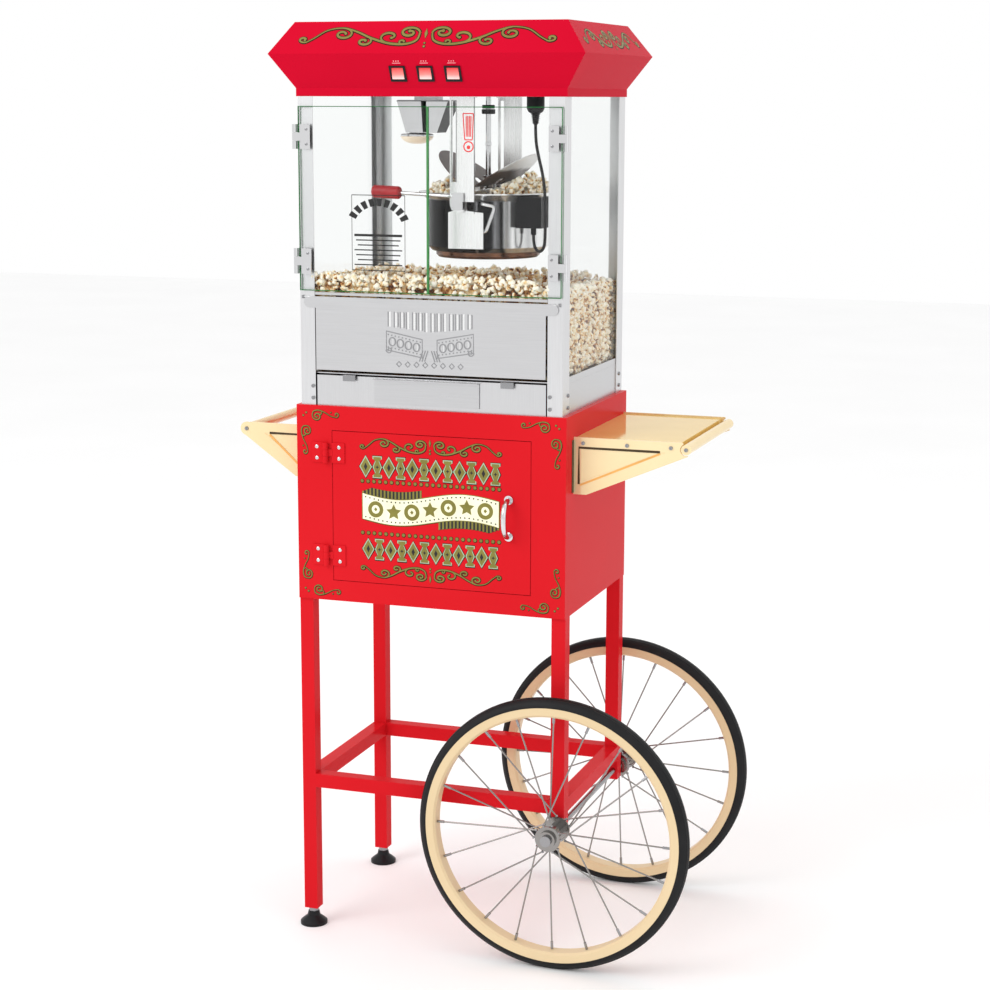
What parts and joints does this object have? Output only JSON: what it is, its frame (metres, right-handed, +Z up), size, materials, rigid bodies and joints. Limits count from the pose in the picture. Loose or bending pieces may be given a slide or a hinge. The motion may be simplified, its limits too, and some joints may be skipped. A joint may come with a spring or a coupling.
{
  "type": "popcorn cart",
  "caption": "Popcorn machine with glass doors and a hinged kettle, on a red cabinet cart with spoked wheels, a serving shelf and a push bar.",
  "frame": {"origin": "on the floor, under the middle of the whole cart's box", "axes": "+Z up, -Y the front with the glass doors, +X towards the serving shelf and wheels"},
  "size_m": [0.8233, 0.504, 1.5497],
  "materials": {
    "red_paint": "gloss",
    "red_canopy": "gloss",
    "stainless": "satin",
    "zinc": "satin",
    "chrome": "polished",
    "pale_gold": "gloss",
    "rim_cream": "satin",
    "tyre_black": "matte",
    "clear_glass": "polished",
    "black_plastic": "satin",
    "red_plastic": "gloss",
    "kettle_steel": "polished",
    "lamp_parts": "polished",
    "motor_body": "satin",
    "cord_black": "matte",
    "popped_corn": "matte"
  },
  "bodies": {
    "cart": {"axle": "zinc", "base_front": "stainless", "base_shell": "stainless", "cabinet_back": "red_paint", "cabinet_floor_and_deck": "red_paint", "cabinet_front": "red_paint", "cabinet_hinge_frames": "red_paint", "cabinet_sides": "red_paint", "canopy": "red_canopy", "cart_fasteners": "zinc", "ceiling_plate": "stainless", "corner_posts": "stainless", "drive_motor": "motor_body", "fixed_glass": "clear_glass", "glass_channels": "stainless", "glass_hinge_frames": "stainless", "kettle_hangers": "stainless", "kettle_lead": "cord_black", "kettle_plug": "black_plastic", "lamp": "lamp_parts", "legs": "red_paint", "lower_rails": "red_paint", "mains_gland": "black_plastic", "popcorn_bed": "popped_corn", "popcorn_floor": "stainless", "push_bar": "pale_gold", "serving_shelf": "pale_gold", "shelf_bar": "pale_gold", "side_brackets": "pale_gold", "switch_bezels": "black_plastic"},
    "cabinet_door": {"cabinet_door": "red_paint", "cabinet_door_handle": "chrome", "cabinet_door_hinges": "red_paint"},
    "glass_door_left": {"glass_door_left": "clear_glass", "glass_door_left_hinges": "stainless"},
    "glass_door_right": {"glass_door_right": "clear_glass", "glass_door_right_hinges": "stainless"},
    "dump_flap": {"dump_flap": "stainless"},
    "kernel_drawer": {"kernel_drawer": "stainless"},
    "rocker_left": {"rocker_left": "red_plastic"},
    "rocker_middle": {"rocker_middle": "red_plastic"},
    "rocker_right": {"rocker_right": "red_plastic"},
    "kettle": {"kettle_pot": "kettle_steel", "kettle_frame": "kettle_steel", "kettle_handle": "chrome", "kettle_grip": "red_plastic", "kettle_terminal_box": "black_plastic", "kettle_popcorn": "popped_corn"},
    "kettle_lid_left": {"kettle_lid_left": "kettle_steel"},
    "kettle_lid_right": {"kettle_lid_right": "kettle_steel"},
    "stirrer": {"stirrer": "zinc"},
    "drive_shaft": {"drive_shaft": "kettle_steel"},
    "wheel_front": {"wheel_front_tyre": "tyre_black", "wheel_front_rim": "rim_cream", "wheel_front_hub": "zinc"},
    "wheel_rear": {"wheel_rear_tyre": "tyre_black", "wheel_rear_rim": "rim_cream", "wheel_rear_hub": "zinc"},
    "foot_front": {"foot_front": "black_plastic"},
    "foot_rear": {"foot_rear": "black_plastic"}
  },
  "joints": [
    {"name": "cabinet_door_swing", "type": "hinge", "parent": "cart", "child": "cabinet_door", "pos_m": [-0.23365, -0.1833, 0.754], "axis": [0, 0, -1], "range_deg": [0, 110]},
    {"name": "glass_door_left_swing", "type": "hinge", "parent": "cart", "child": "glass_door_left", "pos_m": [-0.28365, -0.1785, 1.265], "axis": [0, 0, -1], "range_deg": [0, 150]},
    {"name": "glass_door_right_swing", "type": "hinge", "parent": "cart", "child": "glass_door_right", "pos_m": [0.18335, -0.1785, 1.265], "axis": [0, 0, 1], "range_deg": [0, 150]},
    {"name": "dump_flap_swing", "type": "hinge", "parent": "cart", "child": "dump_flap", "pos_m": [-0.05015, -0.176, 1.104], "axis": [-1, 0, 0], "range_deg": [0, 75]},
    {"name": "kernel_drawer_slide", "type": "slide", "parent": "cart", "child": "kernel_drawer", "axis": [0, -1, 0], "range_m": [0, 0.2]},
    {"name": "rocker_left_tilt", "type": "hinge", "parent": "cart", "child": "rocker_left", "pos_m": [-0.09815, -0.18152, 1.46836], "axis": [1, 0, 0], "range_deg": [0, 20]},
    {"name": "rocker_middle_tilt", "type": "hinge", "parent": "cart", "child": "rocker_middle", "pos_m": [-0.05115, -0.18152, 1.46836], "axis": [1, 0, 0], "range_deg": [0, 20]},
    {"name": "rocker_right_tilt", "type": "hinge", "parent": "cart", "child": "rocker_right", "pos_m": [-0.00415, -0.18152, 1.46836], "axis": [1, 0, 0], "range_deg": [0, 20]},
    {"name": "kettle_tilt", "type": "hinge", "parent": "cart", "child": "kettle", "pos_m": [-0.01815, 0, 1.259], "axis": [0, -1, 0], "range_deg": [0, 75], "deforming": ["drive_shaft", "kettle_lead"]},
    {"name": "kettle_lid_right_lift", "type": "hinge", "parent": "kettle", "child": "kettle_lid_right", "pos_m": [-0.00265, 0, 1.2835], "axis": [0, -1, 0], "range_deg": [0, 50]},
    {"name": "kettle_lid_left_lift", "type": "hinge", "parent": "kettle", "child": "kettle_lid_left", "pos_m": [-0.01565, 0, 1.2835], "axis": [0, 1, 0], "range_deg": [0, 42]},
    {"name": "stirrer_spin", "type": "hinge", "parent": "kettle", "child": "stirrer", "pos_m": [-0.00915, 0, 1.2], "axis": [0, 0, 1], "continuous": true},
    {"name": "drive_shaft_spin", "type": "hinge", "parent": "cart", "child": "drive_shaft", "pos_m": [-0.00915, 0, 1.4], "axis": [0, 0, 1], "continuous": true},
    {"name": "wheel_front_spin", "type": "hinge", "parent": "cart", "child": "wheel_front", "pos_m": [0.17885, -0.212, 0.2328], "axis": [0, 1, 0], "continuous": true},
    {"name": "wheel_rear_spin", "type": "hinge", "parent": "cart", "child": "wheel_rear", "pos_m": [0.17885, 0.212, 0.2328], "axis": [0, 1, 0], "continuous": true},
    {"name": "foot_front_screw", "type": "hinge", "parent": "cart", "child": "foot_front", "pos_m": [-0.27515, -0.1625, 0.02], "axis": [0, 0, 1], "continuous": true},
    {"name": "foot_rear_screw", "type": "hinge", "parent": "cart", "child": "foot_rear", "pos_m": [-0.27515, 0.1625, 0.02], "axis": [0, 0, 1], "continuous": true}
  ],
  "couplings": [
    {"joint": "drive_shaft_spin", "follows": "stirrer_spin", "ratio": 1}
  ]
}
